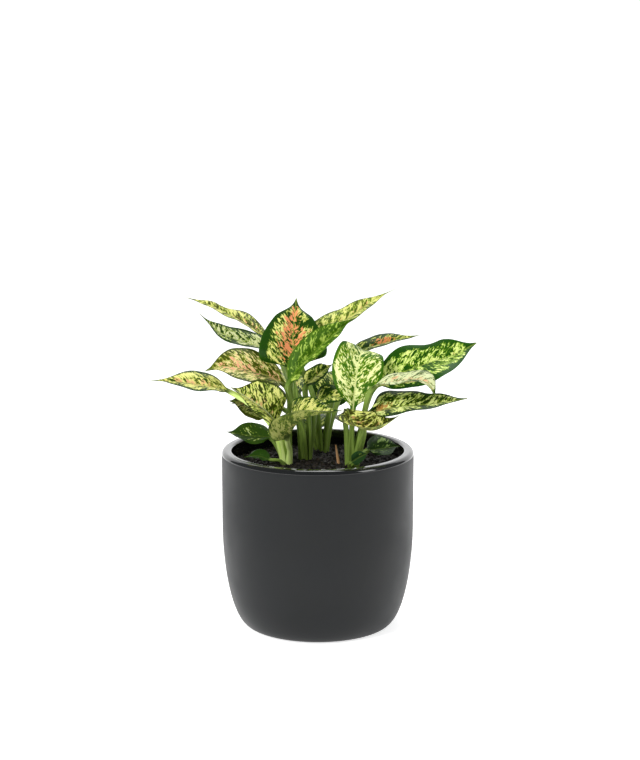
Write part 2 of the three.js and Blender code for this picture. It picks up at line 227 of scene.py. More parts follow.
wall_top = POT_HEIGHT - RIM_ROUND_IN
for share in np.linspace(0.03, 1, INSIDE_STEPS):
    height = wall_top - (wall_top - FLOOR - FLOOR_CORNER) * share
    inside.append((inner_radius(height), height))
corner = inner_radius(FLOOR)
inside += [(corner - 2 * MM, FLOOR + 1 * MM), (corner - 5 * MM, FLOOR), (0, FLOOR)]
profile = outside + rim + inside

# Stoneware with a charcoal slip, fired satin: it scatters light softly, with a fine tooth and faint cloudy
# marks from handling.
satin_slip, tree, surface = finish_of("charcoal stoneware, satin slip")
place = node(tree, "ShaderNodeTexCoord").outputs["Object"]
cloud = node(tree, "ShaderNodeTexNoise", inputs={"Vector": place, "Scale": 1 / 0.045, "Detail": 3.0})
tooth = node(tree, "ShaderNodeTexNoise", inputs={"Vector": place, "Scale": 1 / 0.0011, "Detail": 2.0})
slip = node(tree, "ShaderNodeMix", {"data_type": "RGBA"}, {
    "Factor": cloud.outputs["Fac"], "A": colour("#0f1111"), "B": colour("#1c1e20")})
satin = node(tree, "ShaderNodeMapRange", inputs={
    "Value": cloud.outputs["Fac"], "From Min": 0.3, "From Max": 0.7, "To Min": 0.36, "To Max": 0.5})
bump = node(tree, "ShaderNodeBump", inputs={
    "Height": tooth.outputs["Fac"], "Strength": 0.12, "Distance": 0.15 * MM})
tree.links.new(slip.outputs["Result"], surface.inputs["Base Color"])
tree.links.new(satin.outputs["Result"], surface.inputs["Roughness"])
tree.links.new(bump.outputs["Normal"], surface.inputs["Normal"])
surface.inputs["Specular IOR Level"].default_value = 0.27

# The rim and the inside wear a clear glaze over the same slip: nearly black, with sharp reflections that
# waver a little where the glaze has run.
gloss_glaze, tree, surface = finish_of("charcoal stoneware, gloss glaze")
place = node(tree, "ShaderNodeTexCoord").outputs["Object"]
run = node(tree, "ShaderNodeTexNoise", inputs={"Vector": place, "Scale": 1 / 0.009, "Detail": 2.0})
depth = node(tree, "ShaderNodeMix", {"data_type": "RGBA"}, {
    "Factor": run.outputs["Fac"], "A": colour("#070808"), "B": colour("#101213")})
shine = node(tree, "ShaderNodeMapRange", inputs={
    "Value": run.outputs["Fac"], "From Min": 0.3, "From Max": 0.7, "To Min": 0.05, "To Max": 0.12})
bump = node(tree, "ShaderNodeBump", inputs={
    "Height": run.outputs["Fac"], "Strength": 0.25, "Distance": 0.3 * MM})
tree.links.new(depth.outputs["Result"], surface.inputs["Base Color"])
tree.links.new(shine.outputs["Result"], surface.inputs["Roughness"])
tree.links.new(bump.outputs["Normal"], surface.inputs["Normal"])
surface.inputs["Coat Weight"].default_value = 0.65
surface.inputs["Coat Roughness"].default_value = 0.04

points, faces = turned(profile, POT_SIDES)
levels = np.array([0] + [k for k in range(1, len(profile) - 1) for _ in range(POT_SIDES)] + [len(profile)])
glazed = [int(min(levels[v] for v in face) >= len(outside)) for face in faces]
built("pot_shell", points, faces, satin_slip, "pot", second=(gloss_glaze, glazed))

# ---- Potting mix ----

soil_points = np.array([v.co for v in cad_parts["potting_mix"].data.vertices])
SOIL_TOP = soil_points[:, 2].max()
SOIL_BASE = FLOOR + 0.5 * MM
SOIL_CLEARANCE = 0.4 * MM
SOIL_EDGE_FALL = 2 * MM
SOIL_LUMP = 1.1 * MM
SOIL_WALL_ROWS = 24
SOIL_TOP_ROWS = 55
SOIL_SIDES = 144


def soil_lift(x, y):
    """How far lumps raise or lower the potting mix at a place."""
    wide = np.sin(x / MM * 0.13 + 1.7) * np.cos(y / MM * 0.17 + 0.4)
    fine = np.sin(x / MM * 0.41 + y / MM * 0.23) * np.cos(y / MM * 0.52 - x / MM * 0.19 + 2.1)
    return SOIL_LUMP * (0.7 * wide + 0.5 * fine)


# Peat-based potting mix: nearly black, dull and damp, with brown fibres and bark showing in it.
peat, tree, surface = finish_of("damp peat potting mix")
place = node(tree, "ShaderNodeTexCoord").outputs["Object"]
grain = node(tree, "ShaderNodeTexNoise", inputs={"Vector": place, "Scale": 1 / 0.0035, "Detail": 4.0})
blend = node(tree, "ShaderNodeValToRGB", inputs={"Fac": grain.outputs["Fac"]})
stops(blend.color_ramp, ((0.36, "#070606"), (0.72, "#2a221d")))
bump = node(tree, "ShaderNodeBump", inputs={
    "Height": grain.outputs["Fac"], "Strength": 0.6, "Distance": 0.8 * MM})
tree.links.new(blend.outputs["Color"], surface.inputs["Base Color"])
tree.links.new(bump.outputs["Normal"], surface.inputs["Normal"])
surface.inputs["Roughness"].default_value = 0.72

points = [(0, 0, SOIL_BASE)]
for height in np.linspace(SOIL_BASE, SOIL_TOP - 4 * MM, SOIL_WALL_ROWS):
    drawn_under = 5 * MM if height == SOIL_BASE else 0
    points += circle(inner_radius(height) - SOIL_CLEARANCE - drawn_under, height, SOIL_SIDES)
edge = inner_radius(SOIL_TOP) - SOIL_CLEARANCE
for share in np.linspace(1, 0, SOIL_TOP_ROWS + 1)[:-1]:
    for x, y, height in circle(edge * share, SOIL_TOP - SOIL_EDGE_FALL * share**4, SOIL_SIDES):
        points.append((x, y, height + float(soil_lift(x, y)) - SOIL_LUMP))
points.append((0, 0, SOIL_TOP - SOIL_LUMP + float(soil_lift(0, 0))))
faces = capped(SOIL_WALL_ROWS + SOIL_TOP_ROWS, SOIL_SIDES)
soil = built("potting_mix_fill", points, faces, peat, "potting_mix")


def crumb_tree(name):
    """Geometry nodes that strew rough crumbs over the upward faces of a surface."""
    tree = bpy.data.node_groups.new(name, "GeometryNodeTree")
    face = tree.interface
    face.new_socket("Geometry", in_out="INPUT", socket_type="NodeSocketGeometry")
    for label, value in (("Crumb size", 1.4 * MM), ("Crumbs per square metre", 250000.0), ("Above", 0.15)):
        face.new_socket(label, in_out="INPUT", socket_type="NodeSocketFloat").default_value = value
    face.new_socket("Seed", in_out="INPUT", socket_type="NodeSocketInt").default_value = 4
    face.new_socket("Material", in_out="INPUT", socket_type="NodeSocketMaterial")
    face.new_socket("Geometry", in_out="OUTPUT", socket_type="NodeSocketGeometry")
    given = node(tree, "NodeGroupInput").outputs
    position = node(tree, "GeometryNodeInputPosition").outputs["Position"]
    place = node(tree, "ShaderNodeSeparateXYZ", inputs={"Vector": position})
    on_top = node(tree, "FunctionNodeCompare", {"operation": "GREATER_THAN"}, {
        "A": place.outputs["Z"], "B": given["Above"]})
    spots = node(tree, "GeometryNodeDistributePointsOnFaces", inputs={
        "Mesh": given["Geometry"], "Selection": on_top.outputs[0],
        "Density": given["Crumbs per square metre"], "Seed": given["Seed"]})
    ball = node(tree, "GeometryNodeMeshIcoSphere", inputs={"Radius": 1.0, "Subdivisions": 1})
    turn = node(tree, "FunctionNodeRandomValue", {"data_type": "FLOAT_VECTOR"}, {
        "Max": (6.28, 6.28, 6.28), "Seed": given["Seed"]})
    stretch = node(tree, "FunctionNodeRandomValue", {"data_type": "FLOAT_VECTOR"}, {
        "Min": (0.25, 0.3, 0.2), "Max": (1.0, 0.75, 0.6), "Seed": given["Seed"]})
    sized = node(tree, "ShaderNodeVectorMath", {"operation": "SCALE"}, {
        0: stretch.outputs["Value"], "Scale": given["Crumb size"]})
    crumbs = node(tree, "GeometryNodeInstanceOnPoints", inputs={
        "Points": spots.outputs["Points"], "Instance": ball.outputs["Mesh"],
        "Rotation": turn.outputs["Value"], "Scale": sized.outputs["Vector"]})
    real = node(tree, "GeometryNodeRealizeInstances", inputs={"Geometry": crumbs.outputs["Instances"]})
    wear = node(tree, "ShaderNodeTexNoise", inputs={"Vector": position, "Scale": 1 / 0.0012})
    push = node(tree, "ShaderNodeVectorMath", {"operation": "SUBTRACT"}, {
        0: wear.outputs["Color"], 1: (0.5, 0.5, 0.5)})
    pushed = node(tree, "ShaderNodeVectorMath", {"operation": "SCALE"}, {
        0: push.outputs["Vector"], "Scale": given["Crumb size"]})
    rough = node(tree, "GeometryNodeSetPosition", inputs={
        "Geometry": real.outputs["Geometry"], "Offset": pushed.outputs["Vector"]})
    dressed = node(tree, "GeometryNodeSetMaterial", inputs={
        "Geometry": rough.outputs["Geometry"], "Material": given["Material"]})
    node(tree, "NodeGroupOutput", inputs={"Geometry": dressed.outputs["Geometry"]})
    return tree


def strewn(name, size, density, seed, material):
    """Puts crumbs over the potting mix, as a plain mesh piece of their own."""
    modifier = soil.modifiers.new(name, "NODES")
    modifier.node_group = crumb_tree(name)
    sockets = {s.name: s.identifier for s in modifier.node_group.interface.items_tree if s.in_out == "INPUT"}
    modifier[sockets["Crumb size"]] = size
    modifier[sockets["Crumbs per square metre"]] = density
    modifier[sockets["Above"]] = SOIL_TOP - 5 * MM
    modifier[sockets["Seed"]] = seed
    modifier[sockets["Material"]] = material
    mesh = bpy.data.meshes.new_from_object(soil.evaluated_get(bpy.context.evaluated_depsgraph_get()))
    soil.modifiers.remove(modifier)
    mesh.name = name
    placed(name, mesh)


# Composted bark: short dark brown chips with a dull broken face, a few of them dry and lighter.
bark, tree, surface = finish_of("composted bark chips")
place = node(tree, "ShaderNodeTexCoord").outputs["Object"]
tone = node(tree, "ShaderNodeTexNoise", inputs={"Vector": place, "Scale": 1 / 0.006, "Detail": 2.0})
blend = node(tree, "ShaderNodeValToRGB", inputs={"Fac": tone.outputs["Fac"]})
stops(blend.color_ramp, ((0.4, "#0d0b0a"), (0.75, "#3a2f28")))
bump = node(tree, "ShaderNodeBump", inputs={
    "Height": tone.outputs["Fac"], "Strength": 0.5, "Distance": 0.4 * MM})
tree.links.new(blend.outputs["Color"], surface.inputs["Base Color"])
tree.links.new(bump.outputs["Normal"], surface.inputs["Normal"])
surface.inputs["Roughness"].default_value = 0.6

strewn("potting_mix_crumbs", 2.3 * MM, 150000.0, 4, peat)
strewn("potting_mix_bark", 4.2 * MM, 16000.0, 11, bark)

# ---- Leaves ----

# A leaf's CAD solid is a loft through rings of eight points; the third lies over the midrib. The first rings
# are the petiole's. Lengths in this section are in millimetres until a mesh is built.
RING_POINTS = 8
GROOVE_POINT = 2
PETIOLE_RINGS = 5
PETIOLE_STEPS = 5
BLADE_STEPS = 8
# Places across one half of a leaf, from the margin at 0 to the midrib at 2, closer near the midrib.
HALF_PLACES = [0, 0.1, 0.3, 0.55, 0.8, 1.05, 1.3, 1.5, 1.68, 1.82, 1.91, 1.96, 2]
MIDDLE = len(HALF_PLACES) - 1
BLADE_THINNING = 0.55
VEIN_SPACING = 5.2
VEIN_SLOPE = 0.8
VEIN_CURVE = 0.006
QUILT_DEPTH = 0.3
CHANNEL_DEPTH = 0.55
CHANNEL_WIDTH = 0.9
RIDGE_HEIGHT = 0.6
RIDGE_WIDTH = 0.8
RIPPLE_HEIGHT = 0.9
RIPPLE_LONG = 9.5
RIPPLE_SHORT = 4.7
NECK_SHARE = 0.12
SHEATH_SPREAD = 0.55
CLASP = 0.6
EDGE_SPAN = 0.13
OUTLINE = ("edge", "drip")


def box_middle(name):
    """The middle of a CAD node's box, in millimetres."""
    low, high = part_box(name)
    return np.array((low + high) / 2) / MM


def walk_ring(edges):
    """The vertices of a closed ring of edges, in order."""
    beside = {}
    for edge in edges:
        for v in edge.verts:
            beside.setdefault(v, []).append(edge.other_vert(v))
    ring = [next(iter(beside))]
    while len(ring) < len(beside):
        ring.append(next(v for v in beside[ring[-1]] if v not in ring))
    return np.array([v.co[:] for v in ring]) / MM


def rings_of(name):
    """The rings that a leaf's solid is made through, root to tip, in millimetres. Each goes from the left
    margin over the upper side to the right margin, and back underneath."""
    solid = bmesh.new()
    solid.from_mesh(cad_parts[name].data)
    bmesh.ops.remove_doubles(solid, verts=solid.verts, dist=0.001 * MM)
    front = sorted(solid.verts, key=lambda v: v.co.z)[:RING_POINTS]
    level = dict.fromkeys(front, 0)
    depth = 0
    while front:
        depth += 1
        front = list({e.other_vert(v) for v in front for e in v.link_edges} - set(level))
        level.update(dict.fromkeys(front, depth))
    loops = []
    for k in range(depth):
        joined = []
        for edge in solid.edges:
            if level[edge.verts[0]] == level[edge.verts[1]] == k:
                if any(level[v] != k for face in edge.link_faces for v in face.verts):
                    joined.append(edge)
        loops.append(walk_ring(joined))
    solid.free()
    root, ahead = loops[0], loops[1].mean(axis=0) - loops[0].mean(axis=0)
    from_middle = root - root.mean(axis=0)
    groove = int(np.argmin(np.linalg.norm(from_middle, axis=1)))
    root = np.roll(root, GROOVE_POINT - groove, axis=0)
    side = np.cross(ahead, root[GROOVE_POINT] - root.mean(axis=0))
    if (root[2 * GROOVE_POINT] - root[0]) @ side < 0:
        root = np.roll(root[::-1], 2 * GROOVE_POINT - RING_POINTS + 1, axis=0)
    rings = [root]
    for loop in loops[1:]:
        ways = [np.roll(way, s, axis=0) for way in (loop, loop[::-1]) for s in range(RING_POINTS)]
        rings.append(min(ways, key=lambda way: np.linalg.norm(way - rings[-1], axis=1).sum()))
    return np.array(rings)


def spans(start, end, slope_start, slope_end, t):
    """Points on cubic spans, from their ends and the slopes there."""
    return ((2 * t**3 - 3 * t**2 + 1) * start + (t**3 - 2 * t**2 + t) * slope_start
            + (3 * t**2 - 2 * t**3) * end + (t**3 - t**2) * slope_end)


def fine_rings(rings):
    """More rings on smooth tracks through those of the solid, with each one's distance along the leaf."""
    middles = rings.mean(axis=1)
    at = np.concatenate([[0], np.cumsum(np.linalg.norm(np.diff(middles, axis=0), axis=1))])
    slope = np.gradient(rings, at, axis=0)
    made, places = [], []
    for k in range(len(rings) - 1):
        steps = PETIOLE_STEPS if k < PETIOLE_RINGS else BLADE_STEPS
        gap = at[k + 1] - at[k]
        for t in np.arange(steps) / steps:
            made.append(spans(rings[k], rings[k + 1], slope[k] * gap, slope[k + 1] * gap, t))
            places.append(at[k] + gap * t)
    made.append(rings[-1])
    places.append(at[-1])
    return np.array(made), np.array(places), at[PETIOLE_RINGS]


def rounded(rings):
    """Closer points round each ring: the upper side's, left to right, and the underside's below them."""
    upper = np.array(HALF_PLACES + [2 * GROOVE_POINT - q for q in HALF_PLACES[-2::-1]])
    sides = []
    for places in (upper, (RING_POINTS - upper) % RING_POINTS):
        k = np.floor(places).astype(int)
        t = (places - k)[None, :, None]
        points = [rings[:, (k + shift) % RING_POINTS] for shift in (-1, 0, 1, 2)]
        slope_start, slope_end = (points[2] - points[0]) / 2, (points[3] - points[1]) / 2
        sides.append(spans(points[1], points[2], slope_start, slope_end, t))
    return sides


def drawn_in(name, rings):
    """Rings with the petiole's foot drawn towards its cane, which it clasps."""
    middles = rings.mean(axis=1)
    canes = [box_middle(n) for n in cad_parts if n.startswith("cane_")]
    cane = min(canes, key=lambda c: np.hypot(*(c - middles[0])[:2]))
    for k in range(PETIOLE_RINGS):
        inward = (cane - middles[0]) * (1, 1, 0)
        rings[k] = rings[k] + inward * CLASP * (1 - smooth(k, 0, PETIOLE_RINGS - 0.5))
    return rings


def reaches(middle):
    """How far each point lies from the midrib, left as less than 0, in millimetres and as a share."""
    steps = np.linalg.norm(np.diff(middle, axis=1), axis=2)
    reach = np.concatenate([np.zeros((len(middle), 1)), np.cumsum(steps, axis=1)], axis=1)
    across = reach - reach[:, MIDDLE:MIDDLE + 1]
    edge = np.where(across < 0, -across[:, :1], across[:, -1:])
    return across, np.abs(across) / np.maximum(edge, 1e-6)


def outlined(middle, share, edge, drip):
    """The blade with its margin let out or taken in at places, and drawn out to a thin drip tip."""
    across, out = reaches(middle)
    rib = middle[:, MIDDLE:MIDDLE + 1]
    start, narrowing = drip
    middle = rib + (middle - rib) * (1 - narrowing * smooth(share, start, 0.97))[:, None, None]
    for side, place, push in edge:
        margin = middle[:, 0 if side < 0 else -1] - middle[:, MIDDLE]
        margin /= np.maximum(np.linalg.norm(margin, axis=1, keepdims=True), 1e-6)
        amount = push * np.exp(-((share - place) / EDGE_SPAN) ** 2)[:, None] * out**2 * (across * side > 0)
        middle = middle + margin[:, None] * amount[..., None]
    return middle


def facings(middle, half):
    """The way that the upper side faces at each point."""
    facing = np.cross(np.gradient(middle, axis=0), np.gradient(middle, axis=1))
    facing /= np.maximum(np.linalg.norm(facing, axis=2, keepdims=True), 1e-9)
    turned_over = (facing * half).sum(axis=2)[:, 1:-1].mean(axis=1) < 0
    facing[turned_over] *= -1
    return facing


def leaf_piece(name, material, slot, seed, edge=(), drip=(0.7, 0.35)):
    """A whole leaf in place of its CAD solid. Its finish reads two values at each point: vein_place, the way
    across and along the blade in millimetres, and leaf_share, both as shares, with 1 for the upper side."""
    rings, at, neck = fine_rings(drawn_in(name, rings_of(name)))
    upper, under = rounded(rings)
    middle, half = (upper + under) / 2, (upper - under) / 2
    along = at - neck
    share = np.where(along < 0, along / neck, along / (at[-1] - neck))
    to_tip = 1 - share[:, None]
    blade = smooth(share, 0, NECK_SHARE)[:, None]
    middle = outlined(middle, share, edge, drip)
    across, out = reaches(middle)
    facing = facings(middle, half)

    # The blade swells between its side veins, sinks along the midrib and ripples at its margin.
    vein = along[:, None] - VEIN_SLOPE * np.abs(across) - VEIN_CURVE * across**2
    vein = vein + np.where(across < 0, 0.5 * VEIN_SPACING, 0)
    pillow = np.abs(np.sin(np.pi * vein / VEIN_SPACING)) ** 0.7
    fade = blade * smooth(to_tip, 0, 0.25) * smooth(out, 0.02, 0.25) * smooth(1 - out, 0, 0.2)
    channel = CHANNEL_DEPTH * np.exp(-(across / CHANNEL_WIDTH) ** 2) * smooth(to_tip, 0, 0.7)
    wave = np.sin(along[:, None] / RIPPLE_LONG + seed + np.sign(across))
    wave = wave + 0.6 * np.sin(along[:, None] / RIPPLE_SHORT - seed)
    rippled = RIPPLE_HEIGHT * blade * out**2 * wave * smooth(to_tip, 0, 0.2)
    lift = QUILT_DEPTH * pillow * fade - blade * channel + rippled
    middle = middle + facing * lift[..., None]

    # It is thinner than its solid, with a ridge under the midrib; the petiole widens to a sheath at its foot.
    thin = 1 - (1 - BLADE_THINNING) * blade
    half = half * thin[..., None]
    ridge = RIDGE_HEIGHT * np.exp(-(across / RIDGE_WIDTH) ** 2) * blade * smooth(to_tip, 0, 0.8)
    spread = SHEATH_SPREAD * smooth(-share, 0.35, 0.8)[:, None, None]
    wide = (middle - middle[:, MIDDLE:MIDDLE + 1]) * spread
    upper = middle + half + wide
    under = middle - half - facing * ridge[..., None] + wide

    count = 2 * MIDDLE + 1
    loop = np.concatenate([upper, under[:, -2:0:-1]], axis=1)
    mirrored = np.concatenate([across, across[:, -2:0:-1]], axis=1)
    outward = np.concatenate([out, out[:, -2:0:-1]], axis=1)
    top = np.concatenate([np.ones((len(at), count)), np.zeros((len(at), count - 2))], axis=1)
    around = loop.shape[1]
    vein_place = np.stack([mirrored, np.repeat(along[:, None], around, axis=1), top * 0], axis=2)
    leaf_share = np.stack([outward, np.repeat(share[:, None], around, axis=1), top], axis=2)
    points = loop.reshape(-1, 3) * MM
    values = {"vein_place": vein_place.reshape(-1, 3), "leaf_share": leaf_share.reshape(-1, 3)}
    built(name.replace("leaf_", "blade_"), points, tube(len(at), around), material, name, values)


# Variegated leaf: a waxy skin over green tissue. Cream and pink flecks lie in the tissue between the
# side veins, long in the veins' direction, thick round the midrib and absent along the margin.
FLECK_WIDTH = 2.7
FLECK_LENGTH = 3.6
PATCH_WIDTH = 10
NET_SPACING = 0.7
# How far apart in the noise the two halves of a blade lie, and one leaf from the next, so that none match.
HALVES_APART = 4.7
LEAVES_APART = 3.1
SOFT_STEP = {"interpolation_type": "SMOOTHSTEP"}


def leaf_finish(name, look, seed):
    """The finish of one leaf. look gives its colours and how its flecks and blush lie."""
    material, tree, surface = finish_of("variegated leaf, " + name)
    place = node(tree, "ShaderNodeSeparateXYZ", inputs={
        "Vector": node(tree, "ShaderNodeAttribute", {"attribute_name": "vein_place"}).outputs["Vector"]})
    share = node(tree, "ShaderNodeSeparateXYZ", inputs={
        "Vector": node(tree, "ShaderNodeAttribute", {"attribute_name": "leaf_share"}).outputs["Vector"]})
    off = node(tree, "ShaderNodeMath", {"operation": "ABSOLUTE"}, {0: place.outputs["X"]}).outputs[0]
    hand = node(tree, "ShaderNodeMath", {"operation": "SIGN"}, {0: place.outputs["X"]}).outputs[0]
    off2 = node(tree, "ShaderNodeMath", {"operation": "MULTIPLY"}, {0: off, 1: off}).outputs[0]
    swept = node(tree, "ShaderNodeMath", {"operation": "MULTIPLY_ADD"}, {
        0: off, 1: -VEIN_SLOPE, 2: place.outputs["Y"]}).outputs[0]
    vein = node(tree, "ShaderNodeMath", {"operation": "MULTIPLY_ADD"}, {
        0: off2, 1: -VEIN_CURVE, 2: swept}).outputs[0]
    layer = node(tree, "ShaderNodeMath", {"operation": "MULTIPLY_ADD"}, {
        0: hand, 1: HALVES_APART, 2: seed * LEAVES_APART}).outputs[0]

    across_vein = node(tree, "ShaderNodeMath", {"operation": "DIVIDE"}, {0: vein, 1: FLECK_WIDTH}).outputs[0]
    along_vein = node(tree, "ShaderNodeMath", {"operation": "DIVIDE"}, {0: off, 1: FLECK_LENGTH}).outputs[0]
    fleck_place = node(tree, "ShaderNodeCombineXYZ", inputs={"X": across_vein, "Y": along_vein, "Z": layer})
    fleck = node(tree, "ShaderNodeTexNoise", inputs={
        "Vector": fleck_place.outputs[0], "Scale": 1.0, "Detail": 2.6, "Roughness": 0.58, "Distortion": 0.9})
    patch_place = node(tree, "ShaderNodeVectorMath", {"operation": "SCALE"}, {
        0: fleck_place.outputs[0], "Scale": FLECK_WIDTH / PATCH_WIDTH})
    patch = node(tree, "ShaderNodeTexNoise", inputs={
        "Vector": patch_place.outputs[0], "Scale": 1.0, "Detail": 1.0})
    blush_noise = node(tree, "ShaderNodeTexNoise", inputs={
        "Vector": patch_place.outputs[0], "Scale": 2.6, "Detail": 2.0, "Distortion": 0.4})

    # How thick the flecks lie: none on the margin, at the neck and at the tip. A cover of 0 leaves the blade
    # almost green, 0.5 makes a quarter of it cream and 1 most of it.
    inward = node(tree, "ShaderNodeMapRange", SOFT_STEP, {
        "Value": share.outputs["X"], "From Min": 1 - look["margin"], "From Max": 1.0,
        "To Min": 1.0, "To Max": 0.0})
    from_neck = node(tree, "ShaderNodeMapRange", SOFT_STEP, {
        "Value": share.outputs["Y"], "From Min": 0.0, "From Max": 0.1})
    to_tip = node(tree, "ShaderNodeMapRange", SOFT_STEP, {
        "Value": share.outputs["Y"], "From Min": 0.84, "From Max": 0.99, "To Min": 1.0, "To Max": 0.0})
    where = node(tree, "ShaderNodeMath", {"operation": "MULTIPLY"}, {
        0: inward.outputs[0], 1: from_neck.outputs[0]})
    where = node(tree, "ShaderNodeMath", {"operation": "MULTIPLY"}, {
        0: where.outputs[0], 1: to_tip.outputs[0]})
    thick = node(tree, "ShaderNodeMath", {"operation": "MULTIPLY_ADD"}, {
        0: patch.outputs["Fac"], 1: 0.7, 2: look["cover"] * 0.45 - 0.825})
    thick = node(tree, "ShaderNodeMath", {"operation": "MULTIPLY_ADD"}, {
        0: fleck.outputs["Fac"], 1: 1.5, 2: thick.outputs[0]})
    drop = node(tree, "ShaderNodeMath", {"operation": "SUBTRACT"}, {0: where.outputs[0], 1: 1.0})
    strength = node(tree, "ShaderNodeMath", {"operation": "MULTIPLY_ADD"}, {
        0: drop.outputs[0], 1: 0.5, 2: thick.outputs[0]})
    tissue = node(tree, "ShaderNodeValToRGB", inputs={"Fac": strength.outputs[0]})
    stops(tissue.color_ramp, (
        (0.39, look["deep"]), (0.46, look["mid"]), (0.52, look["lime"]), (0.61, look["cream"])))

    # Pink and orange take the place of cream near the midrib, round one place along the blade.
    near_rib = node(tree, "ShaderNodeMapRange", SOFT_STEP, {
        "Value": share.outputs["X"], "From Min": 0.0, "From Max": look["blush_reach"],
        "To Min": 1.0, "To Max": 0.0})
    from_spot = node(tree, "ShaderNodeMath", {"operation": "SUBTRACT"}, {
        0: share.outputs["Y"], 1: look["blush_at"]})
    from_spot = node(tree, "ShaderNodeMath", {"operation": "ABSOLUTE"}, {0: from_spot.outputs[0]})
    near_spot = node(tree, "ShaderNodeMapRange", SOFT_STEP, {
        "Value": from_spot.outputs[0], "From Min": look["blush_length"] * 0.3,
        "From Max": look["blush_length"], "To Min": 1.0, "To Max": 0.0})
    warm = node(tree, "ShaderNodeMath", {"operation": "MULTIPLY"}, {
        0: near_rib.outputs[0], 1: near_spot.outputs[0]})
    warm = node(tree, "ShaderNodeMath", {"operation": "MULTIPLY_ADD"}, {
        0: warm.outputs[0], 1: look["blush"], 2: blush_noise.outputs["Fac"]})
    warm = node(tree, "ShaderNodeMapRange", SOFT_STEP, {
        "Value": warm.outputs[0], "From Min": 0.78, "From Max": 0.98})
    light_part = node(tree, "ShaderNodeMapRange", SOFT_STEP, {
        "Value": strength.outputs[0], "From Min": 0.47, "From Max": 0.54})
    warm = node(tree, "ShaderNodeMath", {"operation": "MULTIPLY"}, {
        0: warm.outputs[0], 1: light_part.outputs[0]})
    blushed = node(tree, "ShaderNodeMix", {"data_type": "RGBA"}, {
        "Factor": warm.outputs[0], "A": tissue.outputs["Color"], "B": colour(look["pink"])})

    # The midrib is a fine pale line with soft edges.
    rib = node(tree, "ShaderNodeMapRange", SOFT_STEP, {
        "Value": off, "From Min": 0.35, "From Max": 0.9, "To Min": look["rib_show"], "To Max": 0.0})
    ribbed = node(tree, "ShaderNodeMix", {"data_type": "RGBA"}, {
        "Factor": rib.outputs[0], "A": blushed.outputs["Result"], "B": colour(look["rib"])})

    # The underside is the same pattern seen through paler, greyer tissue.
    below = node(tree, "ShaderNodeMath", {"operation": "MULTIPLY_ADD"}, {
        0: share.outputs["Z"], 1: -0.5, 2: 0.5})
    sided = node(tree, "ShaderNodeMix", {"data_type": "RGBA"}, {
        "Factor": below.outputs[0], "A": ribbed.outputs["Result"], "B": colour(look["under"])})

    # Petiole: streaked lengthwise in two greens. On the left long, front and cup leaves these greens are
    # painted much lighter, as painted light where the leaves above shade them.
    streak_place = node(tree, "ShaderNodeCombineXYZ", inputs={"X": place.outputs["X"], "Z": layer})
    streak_long = node(tree, "ShaderNodeMath", {"operation": "MULTIPLY"}, {0: place.outputs["Y"], 1: 0.05})
    tree.links.new(streak_long.outputs[0], streak_place.inputs["Y"])
    streak = node(tree, "ShaderNodeTexNoise", inputs={
        "Vector": streak_place.outputs[0], "Scale": 1.3, "Detail": 2.0})
    stalk = node(tree, "ShaderNodeMix", {"data_type": "RGBA"}, {
        "Factor": streak.outputs["Fac"], "A": colour(look["stalk"]), "B": colour(look["stalk_light"])})
    is_blade = node(tree, "ShaderNodeMapRange", SOFT_STEP, {
        "Value": share.outputs["Y"], "From Min": -0.04, "From Max": 0.07})
    whole = node(tree, "ShaderNodeMix", {"data_type": "RGBA"}, {
        "Factor": is_blade.outputs[0], "A": stalk.outputs["Result"], "B": sided.outputs["Result"]})

    # The fine net between the side veins stands in low relief under the wax, which has a soft, uneven sheen.
    across_net = node(tree, "ShaderNodeMath", {"operation": "DIVIDE"}, {0: vein, 1: NET_SPACING}).outputs[0]
    net_place = node(tree, "ShaderNodeCombineXYZ", inputs={"X": across_net, "Y": along_vein, "Z": layer})
    net = node(tree, "ShaderNodeTexNoise", inputs={
        "Vector": net_place.outputs[0], "Scale": 1.0, "Detail": 2.0})
    bump = node(tree, "ShaderNodeBump", inputs={
        "Height": net.outputs["Fac"], "Strength": 0.25, "Distance": 0.35 * MM})
    rough = node(tree, "ShaderNodeMapRange", inputs={
        "Value": patch.outputs["Fac"], "From Min": 0.3, "From Max": 0.7, "To Min": 0.34, "To Max": 0.44})
    tree.links.new(whole.outputs["Result"], surface.inputs["Base Color"])
    tree.links.new(rough.outputs[0], surface.inputs["Roughness"])
    tree.links.new(bump.outputs["Normal"], surface.inputs["Normal"])
    surface.inputs["Specular IOR Level"].default_value = 0.17
    surface.inputs["Subsurface Weight"].default_value = 0.08
    surface.inputs["Subsurface Radius"].default_value = (1.0, 1.2, 0.4)
    surface.inputs["Subsurface Scale"].default_value = 0.8 * MM
    return material


BASE_LOOK = {
    "deep": "#22400a", "mid": "#4a6a15", "lime": "#9fb440", "cream": "#eceb8c", "pink": "#ebb584",
    "rib": "#a9bc54", "rib_show": 0.45, "under": "#7f9052", "stalk": "#566f26", "stalk_light": "#9db85a",
    "cover": 0.5, "margin": 0.3, "blush": 0.25, "blush_reach": 0.9, "blush_at": 0.5, "blush_length": 0.6,
}
